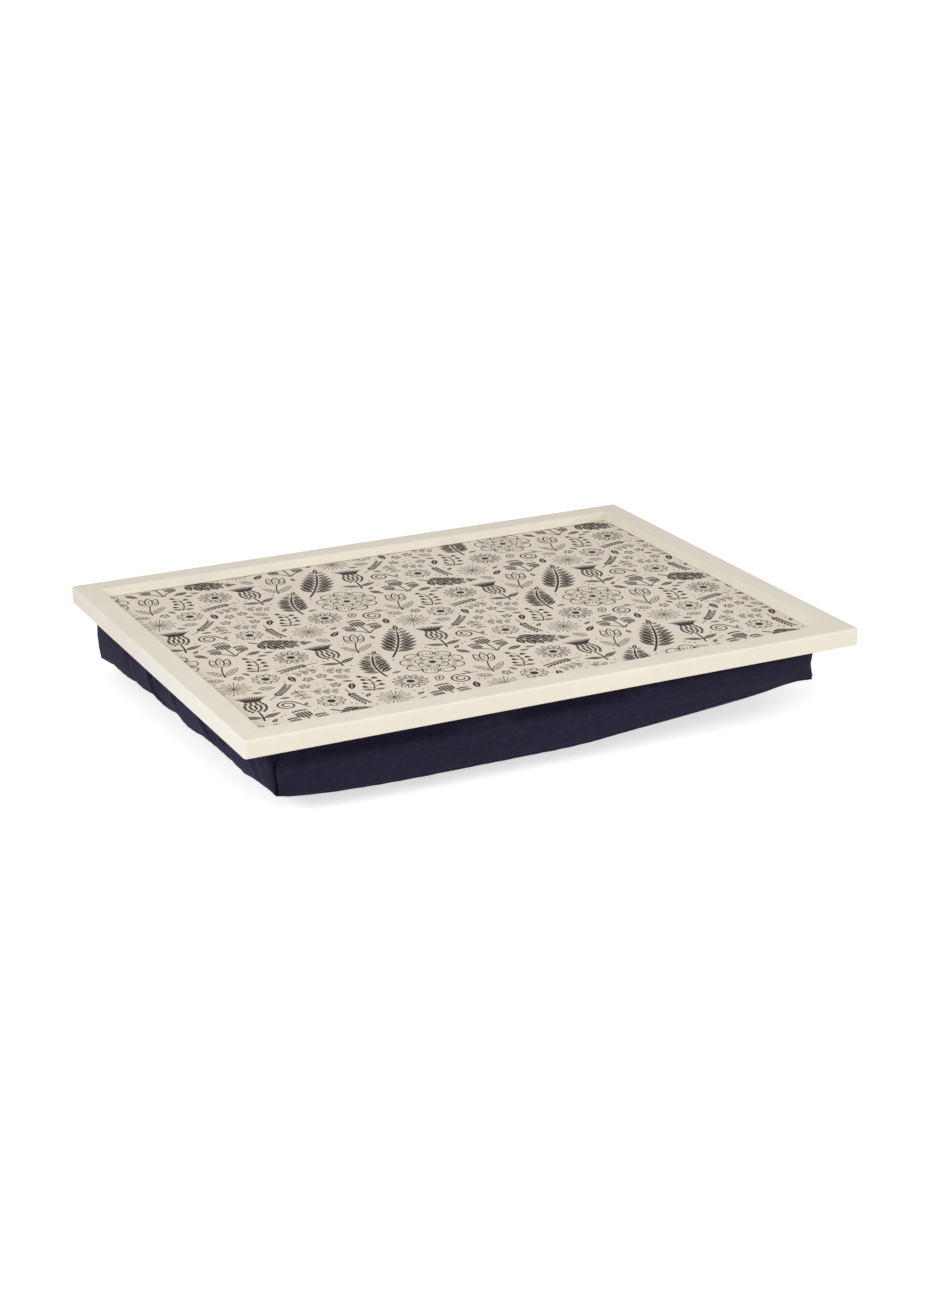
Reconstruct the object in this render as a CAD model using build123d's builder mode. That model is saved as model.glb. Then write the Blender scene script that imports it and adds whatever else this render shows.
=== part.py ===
from build123d import *
from math import cos, radians, sin, sqrt
import os

os.makedirs("parts", exist_ok=True)

# A lap tray: a mitred and painted wooden frame round a printed board, and a boxed
# fabric bag of beads tacked under the board.
# Millimetres, +Z up. The origin is on the floor, under the middle of the tray.
# The long side runs along X, and its near side faces -Y.

# Tray frame
tray_length = 440
tray_width = 330
tray_height = 62  # from the floor to the top of the rails
rail_height = 12
rail_face = 16.5  # the flat top of a rail
wall_lean = 2.5  # how far the inner wall leans in on its way down
recess_depth = 6
lip_width = 7  # how far the rail reaches over the board's edge
corner_radius = 2
outer_arris = 1.5
inner_arris = 1
lower_arris = 0.5

# V nails in the underside of each mitre
nail_height = 7
nail_thickness = 0.4
nail_half_angle = 45  # degrees between a leg and the mitre
nail_leg_share = 0.3  # of the rail's underside
nail_place_shares = (0.27, 0.59)  # of the mitre's length, from the tray's corner

# Board and its printed laminate
board_gap = 0.25  # glue gap round the board
laminate_thickness = 0.4

# Outer bag: its corners at the hem, measured in from the inner edge of the rails' underside
cloth = 0.8
front_gap = 2
back_gap = 3
front_left_gap = 13
front_right_gap = 16
back_right_gap = 9
back_left_gap = 3
hem_allowance = 1  # hem that shows beyond the card strip
shoulder_share = 0.8  # of the cushion's height, where the cloth turns down
belly_share = 0.48
foot_drop = 10  # below the floor, where the sides' lowest outline is drawn
shoulder_out = 1.6  # how far the corners stand out from the hem, at each level
belly_out = 2.2
foot_out = 0.6
hem_bow = 0.8  # how far the middle of a side stands out from its corners
shoulder_bow = 2.4
belly_bow = 3.6
foot_bow = 2.6
rest_cut = 0.5  # how deep the crown is flattened by the floor

# Card strips and staples that hold the hem to the board
strip_width = 8
strip_thickness = 1.5
strip_setback = 1.2  # from the inside of the bag's side
staple_crown = 10
staple_wire = 0.6
staple_bite_share = 0.55  # of the board's thickness
staple_pitch = 45

# Inner bag that holds the beads
lining = 0.4
bag_gap = 0.3  # between one layer of cloth and the next

overrun = 10  # how far a cutting solid passes what it cuts

# The crown of the underside, as shares. A row gives a place along half the tray's length,
# and the heights there of the front seam, the middle and the back seam, as shares of the
# cushion's height. The photographed bag hangs lower at its back left, and is drawn up at its
# front right.
crown_shares = (
    (-1.10, 0.44, 0.58, 0.21),
    (-0.90, 0.33, 0.35, 0.17),
    (-0.58, 0.24, 0.07, 0.12),
    (-0.18, 0.24, 0.004, 0.14),
    (0.22, 0.30, 0.004, 0.18),
    (0.58, 0.43, 0.07, 0.27),
    (0.90, 0.54, 0.36, 0.36),
    (1.10, 0.60, 0.58, 0.42),
)

# Levels, from the frame down
rail_bottom = tray_height - rail_height
laminate_top = tray_height - recess_depth
board_top = laminate_top - laminate_thickness
hem_bottom = rail_bottom - cloth
strip_bottom = hem_bottom - strip_thickness
staple_bottom = strip_bottom - staple_wire
lining_top = staple_bottom - bag_gap
cushion_height = rail_bottom

wall_foot = rail_face + wall_lean  # from the tray's edge to the foot of the inner wall
rail_foot = wall_foot - lip_width  # the width of a rail's underside
half_length = tray_length / 2
half_width = tray_width / 2
strip_inset = cloth + strip_setback
strip_far = strip_inset + strip_width
hem_width = strip_far + hem_allowance
staple_leg = rail_bottom - staple_bottom + staple_bite_share * (board_top - rail_bottom)


def save(piece, name):
    """Labels a finished piece and writes it."""
    piece.part.label = name
    export_step(piece.part, f"parts/{name}.step")


# Sides of the tray, as the corners that a side runs between, seen from above.
corners = {
    "front_left": (-1, -1),
    "front_right": (1, -1),
    "back_right": (1, 1),
    "back_left": (-1, 1),
}
sides = {
    "front": ("front_left", "front_right"),
    "right": ("front_right", "back_right"),
    "back": ("back_right", "back_left"),
    "left": ("back_left", "front_left"),
}
bag_gaps = {
    "front_left": (front_left_gap, front_gap),
    "front_right": (front_right_gap, front_gap),
    "back_right": (back_right_gap, back_gap),
    "back_left": (back_left_gap, back_gap),
}


def tray_corner(name, inset):
    """A corner of the tray, moved in by the same inset along both sides."""
    toward_x, toward_y = corners[name]
    return (toward_x * (half_length - inset), toward_y * (half_width - inset))


def bag_corner(name, depth):
    """A corner of the bag, depth inside the bag's outer face at the hem."""
    toward_x, toward_y = corners[name]
    gap_x, gap_y = bag_gaps[name]
    return (
        toward_x * (half_length - rail_foot - gap_x - depth),
        toward_y * (half_width - rail_foot - gap_y - depth),
    )


# Frame: one ring with its arrises, parted along the mitres into four rails
with BuildPart() as frame_ring:
    with BuildSketch(Plane.XY.offset(rail_bottom)):
        RectangleRounded(tray_length, tray_width, corner_radius)
    extrude(amount=rail_height)
    with BuildSketch(Plane.XY.offset(rail_bottom)):
        Rectangle(tray_length - 2 * rail_foot, tray_width - 2 * rail_foot)
    extrude(amount=laminate_top - rail_bottom, mode=Mode.SUBTRACT)
    with BuildSketch(Plane.XY.offset(laminate_top)):
        Rectangle(tray_length - 2 * wall_foot, tray_width - 2 * wall_foot)
    with BuildSketch(Plane.XY.offset(tray_height)):
        Rectangle(tray_length - 2 * rail_face, tray_width - 2 * rail_face)
    loft(mode=Mode.SUBTRACT)
    top = frame_ring.faces().sort_by(Axis.Z)[-1]
    fillet(top.outer_wire().edges(), radius=outer_arris)
    underside = frame_ring.faces().sort_by(Axis.Z)[0]
    fillet(underside.outer_wire().edges(), radius=lower_arris)

# V nails: two across each mitre, driven up into the underside
nail_leg = nail_leg_share * rail_foot
leg_along = nail_leg * cos(radians(nail_half_angle))
leg_across = nail_leg * sin(radians(nail_half_angle))
leg_step = nail_thickness / sin(radians(nail_half_angle))
mitre_length = rail_foot * sqrt(2)
with BuildPart() as corner_v_nails:
    for name, (toward_x, toward_y) in corners.items():
        mitre = Plane(
            origin=(*tray_corner(name, 0), rail_bottom),
            x_dir=(-toward_x, -toward_y, 0),
            z_dir=(0, 0, 1),
        )
        with BuildSketch(mitre):
            for share in nail_place_shares:
                place = share * mitre_length
                Polygon(
                    (place, 0),
                    (place + leg_along, leg_across),
                    (place + leg_along + leg_step, leg_across),
                    (place + leg_step, 0),
                    (place + leg_along + leg_step, -leg_across),
                    (place + leg_along, -leg_across),
                    align=None,
                )
        extrude(amount=nail_height)
save(corner_v_nails, "corner_v_nails")

for side, (start, end) in sides.items():
    with BuildPart() as rail:
        add(frame_ring.part)
        with BuildSketch(Plane.XY.offset(rail_bottom)):
            Polygon(
                tray_corner(start, -overrun),
                tray_corner(end, -overrun),
                tray_corner(end, wall_foot + overrun),
                tray_corner(start, wall_foot + overrun),
                align=None,
            )
        extrude(amount=rail_height, mode=Mode.INTERSECT)
        top = rail.faces().sort_by(Axis.Z)[-1]
        inner_edge = top.edges().sort_by_distance((0, 0, tray_height))[0]
        fillet(inner_edge, radius=inner_arris)
        add(corner_v_nails.part, mode=Mode.SUBTRACT)
    save(rail, f"{side}_rail")

# Staples: a row along each card strip, with their legs up through strip, hem and board
with BuildPart() as tack_staples:
    for side, (start, end) in sides.items():
        row = Vector(*bag_corner(start, strip_inset + strip_width / 2))
        row_end = Vector(*bag_corner(end, strip_inset + strip_width / 2))
        run = row_end - row
        count = int((run.length - staple_pitch) // staple_pitch) + 1
        line = Plane(
            origin=((row + row_end) / 2) + Vector(0, 0, staple_bottom),
            x_dir=run,
            z_dir=run.cross(Vector(0, 0, 1)),
        )
        with BuildSketch(line):
            with GridLocations(staple_pitch, 0, count, 1):
                with Locations((0, staple_leg / 2)):
                    Rectangle(staple_crown, staple_leg)
                with Locations((0, (staple_leg + staple_wire) / 2)):
                    Rectangle(
                        staple_crown - 2 * staple_wire,
                        staple_leg - staple_wire,
                        mode=Mode.SUBTRACT,
                    )
        extrude(amount=staple_wire / 2, both=True)
save(tack_staples, "tack_staples")

# Board, with its laminate on top
board_length = tray_length - 2 * rail_foot - 2 * board_gap
board_width = tray_width - 2 * rail_foot - 2 * board_gap
with BuildPart() as tray_board:
    with BuildSketch(Plane.XY.offset(rail_bottom)):
        Rectangle(board_length, board_width)
    extrude(amount=board_top - rail_bottom)
    add(tack_staples.part, mode=Mode.SUBTRACT)
save(tray_board, "tray_board")

with BuildPart() as print_laminate:
    with BuildSketch(Plane.XY.offset(board_top)):
        Rectangle(board_length, board_width)
    extrude(amount=laminate_thickness)
save(print_laminate, "print_laminate")

# Bag levels: height, how far the corners stand out there, and the bow of each side
levels = (
    (cushion_height, 0, hem_bow),
    (shoulder_share * cushion_height, shoulder_out, shoulder_bow),
    (belly_share * cushion_height, belly_out, belly_bow),
    (-foot_drop, foot_out, foot_bow),
)


def side_arc(start, end, depth, bow):
    """Ends and middle of one side's arc, depth inside the hem's outer face."""
    first = Vector(*bag_corner(start, depth))
    last = Vector(*bag_corner(end, depth))
    run = last - first
    outward = run.cross(Vector(0, 0, 1)).normalized()
    return first, (first + last) / 2 + outward * bow, last


def bag_space(depth, top):
    """The space inside the bag's sides, depth in from their outer face, up to a level."""
    with BuildPart() as space:
        for height, out, bow in levels:
            with BuildSketch(Plane.XY.offset(height)):
                with BuildLine():
                    for start, end in sides.values():
                        ThreePointArc(*side_arc(start, end, depth - out, bow))
                make_face()
        loft(ruled=True)
        split(bisect_by=Plane.XY.offset(top), keep=Keep.BOTTOM)
    return space.part


def crown_space(lift):
    """The space above the crown of the underside, raised by lift."""
    reach = half_width + overrun
    widen = reach / (half_width - rail_foot - front_gap)
    with BuildPart() as space:
        for place, front, middle, back in crown_shares:
            lean = (back - front) / 2
            dip = (front + back) / 2 - middle
            low = middle * cushion_height - rest_cut + lift
            front_end = low + (dip * widen * widen - lean * widen) * cushion_height
            back_end = low + (dip * widen * widen + lean * widen) * cushion_height
            with BuildSketch(Plane.YZ.offset(place * half_length)):
                with BuildLine():
                    ThreePointArc((-reach, front_end), (0, low), (reach, back_end))
                    Polyline(
                        (reach, back_end),
                        (reach, tray_height),
                        (-reach, tray_height),
                        (-reach, front_end),
                    )
                make_face()
        loft()
    return space.part


above_cloth = crown_space(cloth)

# Side panels of the bag: a bowed wall with its hem turned in under the board
for side, (start, end) in sides.items():
    with BuildPart() as gusset:
        for height, out, bow in levels:
            outside = side_arc(start, end, -out, bow)
            inside = side_arc(start, end, cloth - out, bow)
            with BuildSketch(Plane.XY.offset(height)):
                with BuildLine():
                    ThreePointArc(*outside)
                    Line(outside[-1], inside[-1])
                    ThreePointArc(*inside)
                    Line(inside[0], outside[0])
                make_face()
        loft(ruled=True)
        inner_start = bag_corner(start, hem_width)
        inner_end = bag_corner(end, hem_width)
        core = side_arc(start, end, cloth / 4, hem_bow)
        with BuildSketch(Plane.XY.offset(hem_bottom)):
            with BuildLine():
                ThreePointArc(*core)
                Polyline(core[-1], inner_end, inner_start, core[0])
            make_face()
        extrude(amount=cloth)
        add(above_cloth, mode=Mode.INTERSECT)
        add(tack_staples.part, mode=Mode.SUBTRACT)
    save(gusset, f"{side}_gusset")

# Underside of the bag, crowned, and flat where it rests
with BuildPart() as base_panel:
    add(bag_space(0, hem_bottom))
    add(crown_space(0), mode=Mode.INTERSECT)
    add(above_cloth, mode=Mode.SUBTRACT)
    split(bisect_by=Plane.XY, keep=Keep.TOP)
save(base_panel, "base_panel")

# Card strips that clamp the hem: long ones at front and back, short ones between them
for side, (start, end) in sides.items():
    with BuildPart() as strip:
        with BuildSketch(Plane.XY.offset(strip_bottom)):
            Polygon(
                bag_corner(start, strip_inset),
                bag_corner(end, strip_inset),
                bag_corner(end, strip_far),
                bag_corner(start, strip_far),
                align=None,
            )
        extrude(amount=strip_thickness)
        add(tack_staples.part, mode=Mode.SUBTRACT)
    save(strip, f"{side}_tack_strip")

# Inner bag: an open body, closed by a flat top, with the beads in it
inner_depth = cloth + bag_gap
fill_depth = inner_depth + lining
inner_lift = cloth + bag_gap
fill_lift = inner_lift + lining
body_top = lining_top - lining
above_lining = crown_space(fill_lift)

with BuildPart() as inner_bag_top:
    add(bag_space(inner_depth, lining_top))
    split(bisect_by=Plane.XY.offset(body_top), keep=Keep.TOP)
save(inner_bag_top, "inner_bag_top")

with BuildPart() as bead_fill:
    add(bag_space(fill_depth, body_top))
    add(above_lining, mode=Mode.INTERSECT)
save(bead_fill, "bead_fill")

with BuildPart() as inner_bag_body:
    add(bag_space(inner_depth, body_top))
    add(crown_space(inner_lift), mode=Mode.INTERSECT)
    add(bead_fill.part, mode=Mode.SUBTRACT)
save(inner_bag_body, "inner_bag_body")
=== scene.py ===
import bmesh
import bpy
import math
import numpy as np
from mathutils import Matrix, Vector
from mathutils.geometry import delaunay_2d_cdt


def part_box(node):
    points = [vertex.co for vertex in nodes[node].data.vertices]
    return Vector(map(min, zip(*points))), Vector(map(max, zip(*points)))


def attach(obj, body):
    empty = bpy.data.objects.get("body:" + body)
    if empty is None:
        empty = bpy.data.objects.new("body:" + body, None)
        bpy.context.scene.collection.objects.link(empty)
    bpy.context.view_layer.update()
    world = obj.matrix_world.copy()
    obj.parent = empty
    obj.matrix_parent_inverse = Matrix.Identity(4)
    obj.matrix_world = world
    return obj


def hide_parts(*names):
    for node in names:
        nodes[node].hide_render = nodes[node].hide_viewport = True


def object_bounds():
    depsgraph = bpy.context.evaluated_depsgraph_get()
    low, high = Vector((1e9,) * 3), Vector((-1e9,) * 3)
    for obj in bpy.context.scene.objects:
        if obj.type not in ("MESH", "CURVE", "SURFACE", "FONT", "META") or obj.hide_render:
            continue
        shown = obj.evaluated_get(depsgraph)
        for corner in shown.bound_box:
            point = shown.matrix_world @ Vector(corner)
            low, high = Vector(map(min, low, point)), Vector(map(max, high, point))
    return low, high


# A lap tray: a cream painted frame round a printed board, on a navy bag of beads.
# Metres, +Z up, in the frame of the CAD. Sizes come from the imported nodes.

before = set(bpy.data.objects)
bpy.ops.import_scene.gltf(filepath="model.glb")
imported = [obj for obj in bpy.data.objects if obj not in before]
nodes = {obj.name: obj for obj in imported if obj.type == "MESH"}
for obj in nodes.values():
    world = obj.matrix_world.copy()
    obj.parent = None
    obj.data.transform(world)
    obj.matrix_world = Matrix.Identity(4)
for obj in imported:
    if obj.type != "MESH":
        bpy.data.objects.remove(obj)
cad_low, cad_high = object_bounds()
MM = 0.001

# Sizes read from the frame
half_length = cad_high.x
half_width = cad_high.y
rail_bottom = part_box("front_rail")[0].z
wall_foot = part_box("left_rail")[1].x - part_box("left_rail")[0].x
sheet_low, sheet_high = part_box("print_laminate")
lip_inset = half_length - sheet_high.x

# Camera, as the photograph was taken
VIEW_PLACE = (-0.70804, -1.45171, 0.61326)
VIEW_RIGHT = (0.89569325, -0.4446205, -0.00679749)
VIEW_DOWN = (-0.15698326, -0.30186851, -0.94033593)
VIEW_AHEAD = (0.41604068, 0.84331963, -0.34017957)
VIEW_LENS = 68.67  # millimetres, on a sensor of 36


def new_object(name, data):
    made = bpy.data.objects.new(name, data)
    bpy.context.scene.collection.objects.link(made)
    return made


def make_camera():
    data = bpy.data.cameras.new("camera")
    data.sensor_width, data.lens = 36, VIEW_LENS
    data.clip_start, data.clip_end = 0.05, 60
    camera = new_object("camera", data)
    right, down, ahead = (Vector(v) for v in (VIEW_RIGHT, VIEW_DOWN, VIEW_AHEAD))
    turn = Matrix((right, -down, -ahead)).transposed().to_4x4()
    camera.matrix_world = Matrix.Translation(VIEW_PLACE) @ turn
    bpy.context.scene.camera = camera


# Shader nodes


def srgb(red, green, blue):
    """A colour picked as 0 to 255 values, for a socket."""
    shares = [v / 255 for v in (red, green, blue)]
    return (*(s / 12.92 if s <= 0.04045 else ((s + 0.055) / 1.055) ** 2.4 for s in shares), 1)


class Shading:
    """Builds the nodes of a material or a world from numbers, colours and sockets."""

    def __init__(self, owner):
        owner.use_nodes = True
        self.tree = owner.node_tree
        self.tree.nodes.clear()

    def join(self, value, socket):
        if isinstance(value, bpy.types.NodeSocket):
            self.tree.links.new(value, socket)
        else:
            socket.default_value = value

    def node(self, kind, inputs=(), **settings):
        """A node. Its inputs are the first ones in order, or some by name or number."""
        node = self.tree.nodes.new("ShaderNode" + kind)
        for name, value in settings.items():
            setattr(node, name, value)
        for name, value in inputs.items() if isinstance(inputs, dict) else enumerate(inputs):
            self.join(value, node.inputs[name])
        return node

    def add(self, kind, inputs=(), **settings):
        """A node's first output."""
        return self.node(kind, inputs, **settings).outputs[0]

    def math(self, operation, first, second=0.0, third=0.0):
        return self.add("Math", (first, second, third), operation=operation)

    def ranged(self, value, low, high, to_low=0.0, to_high=1.0, kind="LINEAR"):
        return self.add("MapRange", (value, low, high, to_low, to_high), interpolation_type=kind)

    def seen(self):
        """1 for a ray that shows a surface, and 0 for one that only gathers light from it."""
        ray = self.node("LightPath").outputs
        shown = self.math("MAXIMUM", ray["Is Camera Ray"], ray["Is Glossy Ray"])
        return self.math("MAXIMUM", shown, ray["Is Transmission Ray"])


class Material(Shading):
    """A Principled material, its uniform values set on the shader's own sockets."""

    def __init__(self, name, roughness, specular, **values):
        self.made = bpy.data.materials.new(name)
        super().__init__(self.made)
        self.shader = self.node("BsdfPrincipled")
        self.node("OutputMaterial", (self.shader.outputs[0],))
        self.coat(Roughness=roughness, Specular_IOR_Level=specular, **values)
        self.place = self.node("TexCoord").outputs["Object"]

    def coat(self, **inputs):
        """Gives the shader values or sockets. A name has an underscore for each space."""
        for name, value in inputs.items():
            self.join(value, self.shader.inputs[name.replace("_", " ")])
        return self.made

    def noise(self, scale, detail=3.0, roughness=0.5, stretch=None, place=None):
        """Noise with its cells per metre, or stretched by so much along each axis."""
        place = self.place if place is None else place
        if stretch:
            place = self.add("VectorMath", (place, stretch), operation="MULTIPLY")
        inputs = {"Vector": place, "Scale": scale, "Detail": detail, "Roughness": roughness}
        return self.add("TexNoise", inputs)

    def layered(self, colour, *layers):
        """A colour with others laid over it, each by its own factor."""
        tint = srgb(*colour)
        for factor, colour in layers:
            inputs = {0: factor, 6: tint, 7: srgb(*colour)}
            tint = self.node("Mix", inputs, data_type="RGBA").outputs[2]
        return tint

    def bump(self, height, strength, distance, before=None):
        inputs = {"Height": height, "Strength": strength, "Distance": distance}
        if before is not None:
            inputs["Normal"] = before
        return self.add("Bump", inputs)

    def level(self, vector):
        """The X and Y parts of a vector."""
        return list(self.node("SeparateXYZ", (vector,)).outputs)[:2]

    def off_edge(self, inset):
        """How far a point lies inside an inset of the tray's outline, along X and Y."""
        return [
            self.math("SUBTRACT", half - inset, self.math("ABSOLUTE", part))
            for half, part in zip((half_length, half_width), self.level(self.place))
        ]


def dress(mat, *pieces):
    """Gives CAD nodes their material."""
    for piece in pieces:
        mesh = nodes[piece].data
        mesh.materials.clear()
        mesh.materials.append(mat)


# Materials
MITRE_LINE = (0.1 * MM, 0.4 * MM)  # where the hairline starts and ends to fade, off its middle
JOINT_SHADE_LINE = (0.5 * MM, 0.95 * MM)  # the same for the dark line between rail and board, painted shade of the gap there and partly a glue line
JOINT_SHADE_WAVER = 0.7 * MM
JOINT_SHADE_SHARE = 0.35  # makes the painted joint shade of the long rails wider than that of the short ones
THREADS = 0.62 * MM  # two threads of the cloth


def cream_paint(name, long_way):
    """Satin cream lacquer over a planed moulding, with streaks that are stretched along it."""
    m = Material(name, 0.45, 0.2)
    streaks = m.noise(6, 4, 0.6, long_way)
    # The mitre: a hairline where the two painted rails meet
    from_mitre = m.math("ABSOLUTE", m.math("SUBTRACT", *m.off_edge(0)))
    hairline = m.ranged(from_mitre, *MITRE_LINE, 1, 0, "SMOOTHSTEP")
    tint = m.layered(
        (233, 226, 208),
        (m.ranged(m.noise(14, 2), 0.35, 0.65), (238, 231, 215)),
        (m.ranged(streaks, 0.3, 0.75, 0, 0.25), (226, 218, 198)),
        (m.math("MULTIPLY", hairline, 0.2), (176, 164, 140)),
    )
    height = m.math("MULTIPLY_ADD", streaks, 0.8, m.noise(900, 2, 0.4))
    height = m.math("SUBTRACT", height, m.math("MULTIPLY", hairline, 1.5))
    gloss = m.ranged(streaks, 0.3, 0.7, 0.4, 0.5)
    return m.coat(Base_Color=tint, Normal=m.bump(height, 0.12, 0.3 * MM), Roughness=gloss)


def paper_relief(m):
    return m.bump(m.noise(1100, 2), 0.06, 0.1 * MM)


def print_ground():
    """The warm beige sealed paper of the printed face, with painted shade along the rails' feet."""
    m = Material("print_ground", 0.5, 0.12)
    # The joint: a dark line where the rails' inner walls stand on the board, painted shade of the
    # gap under the lips and partly a glue line
    off_x, off_y = m.off_edge(wall_foot)
    off = m.math("MINIMUM", off_x, m.math("MULTIPLY", off_y, JOINT_SHADE_SHARE))
    off = m.math("ADD", off, m.math("MULTIPLY", m.noise(90), JOINT_SHADE_WAVER))
    tint = m.layered(
        (233, 221, 204),
        (m.ranged(m.noise(9), 0.3, 0.7), (237, 226, 210)),
        (m.ranged(m.noise(1500, 2), 0.45, 0.8, 0, 0.25), (214, 200, 183)),
        (m.ranged(off, *JOINT_SHADE_LINE, 0.75, 0, "SMOOTHSTEP"), (84, 68, 50)),
    )
    return m.coat(Base_Color=tint, Normal=paper_relief(m))


def print_ink():
    """Dark warm grey ink, a little uneven as a print on paper is."""
    m = Material("print_ink", 0.55, 0.08)
    tint = m.layered(
        (50, 39, 29),
        (m.ranged(m.noise(30, 2), 0.3, 0.7), (60, 48, 38)),
        (m.ranged(m.noise(800), 0.6, 0.8, 0, 0.25), (104, 92, 80)),
    )
    return m.coat(Base_Color=tint, Normal=paper_relief(m))


def navy_cloth():
    """Plain woven cotton. The grain map holds each panel's own directions, in metres."""
    sheen = {"Sheen_Weight": 0.06, "Sheen_Roughness": 0.5, "Sheen_Tint": srgb(140, 136, 196)}
    m = Material("navy_cloth", 0.88, 0.2, **sheen)
    grain = m.add("UVMap", uv_map="grain")
    warp, weft = (
        m.math("SINE", m.math("MULTIPLY", part, 2 * math.pi / THREADS)) for part in m.level(grain)
    )
    weave = m.math("MULTIPLY", warp, weft)
    across, along = (
        m.noise(1, 3, 0.6, stretch, grain) for stretch in ((60, 1400, 1), (1400, 60, 1))
    )
    slubs = m.math("MULTIPLY_ADD", along, 0.6, across)
    fuzz = m.noise(190, 5, 0.75, (1, 1, 1.6))
    tint = m.layered(
        (22, 18, 39),
        (m.ranged(m.noise(22, 4, 0.6), 0.3, 0.7), (28, 23, 46)),
        (m.ranged(slubs, 0.8, 1.1, 0, 0.3), (50, 47, 74)),
        (m.ranged(slubs, 0.8, 0.5, 0, 0.3), (21, 18, 33)),
        # The weave's dips between threads are darker: painted shade
        (m.ranged(weave, -1, 1, 0.25, 0), (17, 14, 27)),
        (m.ranged(fuzz, 0.5, 0.75, 0, 0.2), (74, 69, 101)),
    )
    uneven = m.bump(slubs, 0.25, 0.3 * MM)
    return m.coat(Base_Color=tint, Normal=m.bump(weave, 0.3, 0.15 * MM, uneven))


def raw_board():
    m = Material("raw_board", 0.8, 0.2)
    fibre = m.noise(700, 5, 0.7, (1, 1, 4))
    tint = m.layered(
        (142, 108, 72),
        (m.ranged(fibre, 0.3, 0.7), (183, 150, 108)),
        (m.ranged(m.noise(20), 0.4, 0.7, 0, 0.4), (158, 124, 84)),
    )
    return m.coat(Base_Color=tint, Normal=m.bump(fibre, 0.4, 0.2 * MM))


def grey_card():
    m = Material("grey_card", 0.9, 0.15)
    fibre = m.noise(1200, 4, 0.7)
    tint = m.layered((128, 120, 108), (m.ranged(fibre, 0.3, 0.7), (168, 160, 146)))
    return m.coat(Base_Color=tint, Normal=m.bump(fibre, 0.4, 0.1 * MM))


def drawn_steel():
    m = Material("drawn_steel", 0.35, 0.5, Metallic=1.0)
    scratch = m.noise(1, stretch=(400, 400, 4000))
    tint = m.layered((168, 170, 174), (scratch, (205, 206, 208)))
    return m.coat(Base_Color=tint, Roughness=m.ranged(scratch, 0.3, 0.7, 0.28, 0.45))


def nonwoven():
    """Spunbonded lining, with its grid of bond points."""
    m = Material("nonwoven", 0.85, 0.2)
    points = m.add("TexVoronoi", {"Vector": m.place, "Scale": 550.0, "Randomness": 0.1})
    tint = m.layered((206, 206, 204), (m.ranged(points, 0.1, 0.4), (232, 232, 230)))
    height = m.math("ADD", points, m.noise(2500, 3, 0.7))
    return m.coat(Base_Color=tint, Normal=m.bump(height, 0.4, 0.2 * MM))


def beads():
    m = Material("beads", 0.6, 0.3, Subsurface_Weight=0.1)
    balls = m.add("TexVoronoi", {"Vector": m.place, "Scale": 330.0, "Randomness": 0.8})
    # Each bead is lighter at its middle and darker towards the gaps between beads: painted shade
    tint = m.layered((246, 246, 244), (m.ranged(balls, 0.2, 0.8), (196, 197, 198)))
    return m.coat(Base_Color=tint, Normal=m.bump(m.ranged(balls, 0, 0.8, 1, 0), 0.8, 1 * MM))


# The print: sprigs, blooms and seed heads, drawn upright in millimetres as complex numbers.
# A drawing gives its outlines one by one.
PEN = 1.22  # every stroke's width is this times its own


def heading(degrees):
    return np.exp(1j * math.radians(degrees))


def curve(*points, count=12):
    """A smooth curve that these points pull on."""
    t = np.linspace(0, 1, count)
    rows = [np.full(count, p, complex) for p in points]
    while len(rows) > 1:
        rows = [a + (b - a) * t for a, b in zip(rows, rows[1:])]
    return rows[0]


def stroke(path, width, first=0.35, last=0.35):
    """A pen stroke along a path. Its ends have these shares of its width."""
    way = np.gradient(path)
    share = np.interp(np.linspace(0, 1, len(path)), (0, 0.2, 0.8, 1), (first, 1, 1, last))
    off = 1j * way / np.abs(way) * (share * width * PEN / 2)
    return np.concatenate((path - off, (path + off)[::-1]))


def disc(centre, radius, count=10):
    return centre + radius * np.exp(2j * math.pi * np.arange(count) / count)


def ring(count):
    """Directions all round."""
    return [np.exp(2j * math.pi * k / count) for k in range(count)]


def solid_leaf(base, tip, breadth, vein=0.5, count=7):
    """Two dark halves with a light midrib."""
    along = np.linspace(0, 1, count)
    side = 1j * (tip - base) / abs(tip - base)
    bulge = np.sin(math.pi * along**0.85) * breadth / 2
    rib = vein / 2 * np.sin(math.pi * np.clip(along * 1.1, 0, 1)) ** 0.5
    middle = base + (tip - base) * along
    for hand in (1, -1):
        edge = middle + hand * side * np.maximum(bulge, rib)
        yield np.concatenate((edge, (middle + hand * side * rib)[-2:0:-1]))


def line_leaf(base, tip, breadth, pen=0.65, veins=3):
    """An outlined leaf with a midrib and side veins."""
    along = tip - base
    side = 1j * along / abs(along) * breadth
    for hand in (1, -1):
        belly, shoulder = base + along * 0.25 + hand * side, base + along * 0.75 + hand * side * 0.7
        yield stroke(curve(base, belly, shoulder, tip, count=9), pen)
    yield stroke(curve(base, base + along * 0.5, base + along * 0.9, count=4), pen * 0.8)
    for k in range(veins):
        foot = base + along * (0.22 + 0.2 * k)
        for hand in (1, -1):
            end = foot + along * 0.13 + hand * side * 0.42
            yield stroke(curve(foot, end, count=3), pen * 0.7)


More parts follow.
